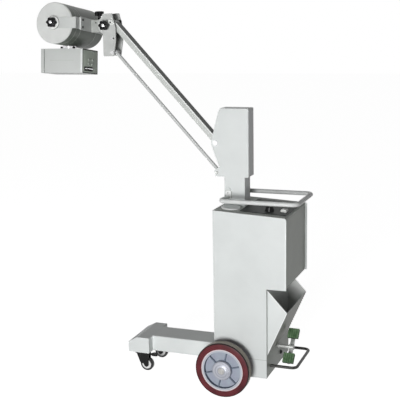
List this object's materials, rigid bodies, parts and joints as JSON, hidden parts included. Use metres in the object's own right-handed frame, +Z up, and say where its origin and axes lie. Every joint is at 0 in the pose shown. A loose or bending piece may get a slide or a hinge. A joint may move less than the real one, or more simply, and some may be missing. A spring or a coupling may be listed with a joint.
{
  "type": "mobile x-ray machine",
  "caption": "Wheeled x-ray unit: cabinet on two large wheels and two casters, push handle, column with a parallelogram arm, tube head in a yoke and a box collimator.",
  "frame": {"origin": "the point on the floor straight under the axle of the two large wheels, midway between them", "axes": "+X forward, from the cabinet towards the tube head; +Y the machine's left side; +Z up"},
  "size_m": [1.5064, 0.6908, 2.0806],
  "materials": {
    "paint": "semi-gloss light grey paint",
    "grey": "semi-gloss grey paint",
    "tube": "semi-gloss light grey paint",
    "steel": "turned steel",
    "cover": "light grey paint",
    "chrome": "polished",
    "panel": "matt overlay",
    "black": "matt black",
    "white": "gloss white",
    "black_metal": "black paint",
    "green": "ribbed pads",
    "tread": "polyurethane tread",
    "wheelgrey": "moulded core",
    "caster": "grey rubber wheel"
  },
  "bodies": {
    "chassis": {"base_frame": "paint", "axle": "steel", "leg_beam": "paint", "cross_bar": "paint", "cabinet_body": "paint", "side_panel_left": "paint", "side_panel_right": "paint", "top_deck": "paint", "deck_cover": "cover", "control_panel": "panel", "selector_knob": "black", "power_switch": "white", "cassette_bin": "paint", "column_housing": "paint", "column_neck": "paint", "push_handle": "grey", "foot_guard": "black_metal", "pedal_lever": "black_metal", "pedal_pad_left": "green", "pedal_pad_right": "green", "caster_plate_left": "black_metal", "caster_plate_right": "black_metal", "beam_column_pin": "steel", "rod_column_pin": "steel"},
    "wheel_left": {"tyre_left": "tread", "wheel_core_left": "wheelgrey"},
    "wheel_right": {"tyre_right": "tread", "wheel_core_right": "wheelgrey"},
    "caster_left": {"caster_fork_left": "black_metal"},
    "caster_right": {"caster_fork_right": "black_metal"},
    "caster_roller_left": {"caster_wheel_left": "caster"},
    "caster_roller_right": {"caster_wheel_right": "caster"},
    "arm": {"arm_beam": "paint"},
    "rod": {"arm_rod": "paint"},
    "bracket": {"end_bracket": "paint", "beam_head_pin": "steel", "rod_head_pin": "steel"},
    "carrier": {"head_carrier": "paint", "tilt_knob": "black", "roll_knob": "black"},
    "yoke_frame": {"yoke": "paint"},
    "tube_head": {"tube_housing": "tube", "tube_cap": "paint", "yoke_knob_left": "black", "yoke_knob_right": "black", "tube_port": "chrome"},
    "beam_limiter": {"collimator": "paint"}
  },
  "joints": [
    {"name": "wheel_left_spin", "type": "hinge", "parent": "chassis", "child": "wheel_left", "pos_m": [0, 0.308, 0.15], "axis": [0, 1, 0], "continuous": true},
    {"name": "wheel_right_spin", "type": "hinge", "parent": "chassis", "child": "wheel_right", "pos_m": [0, -0.308, 0.15], "axis": [0, 1, 0], "continuous": true},
    {"name": "caster_left_swivel", "type": "hinge", "parent": "chassis", "child": "caster_left", "pos_m": [0.56, 0.105, 0.092], "axis": [0, 0, 1], "continuous": true},
    {"name": "caster_left_spin", "type": "hinge", "parent": "caster_left", "child": "caster_roller_left", "pos_m": [0.534, 0.105, 0.039], "axis": [0, 1, 0], "continuous": true},
    {"name": "caster_right_swivel", "type": "hinge", "parent": "chassis", "child": "caster_right", "pos_m": [0.56, -0.105, 0.092], "axis": [0, 0, 1], "continuous": true},
    {"name": "caster_right_spin", "type": "hinge", "parent": "caster_right", "child": "caster_roller_right", "pos_m": [0.534, -0.105, 0.039], "axis": [0, 1, 0], "continuous": true},
    {"name": "arm_lift", "type": "hinge", "parent": "chassis", "child": "arm", "pos_m": [0.121, 0, 1.322], "axis": [0, -1, 0], "range_deg": [-87, 10]},
    {"name": "rod_swing", "type": "hinge", "parent": "chassis", "child": "rod", "pos_m": [0.115, 0, 1.16], "axis": [0, -1, 0], "range_deg": [-88, 11]},
    {"name": "bracket_level", "type": "hinge", "parent": "arm", "child": "bracket", "pos_m": [0.71891, 0, 1.96768], "axis": [0, -1, 0], "range_deg": [-11, 88]},
    {"name": "head_tilt", "type": "hinge", "parent": "bracket", "child": "carrier", "pos_m": [0.74591, 0, 1.95198], "axis": [0, -1, 0], "range_deg": [-10, 45]},
    {"name": "head_roll", "type": "hinge", "parent": "carrier", "child": "yoke_frame", "pos_m": [0.84151, 0, 1.94898], "axis": [1, 0, 0], "range_deg": [-96, 84]},
    {"name": "tube_turn", "type": "hinge", "parent": "yoke_frame", "child": "tube_head", "pos_m": [0.98641, 0, 1.94898], "axis": [0, -0.994, -0.1097], "range_deg": [-10, 90]},
    {"name": "collimator_turn", "type": "hinge", "parent": "tube_head", "child": "beam_limiter", "pos_m": [0.99941, 0.01408, 1.82146], "axis": [0, -0.1097, 0.994], "range_deg": [-45, 45]}
  ],
  "couplings": [
    {"joint": "rod_swing", "follows": "arm_lift", "ratio": 1},
    {"joint": "bracket_level", "follows": "arm_lift", "ratio": -1}
  ]
}
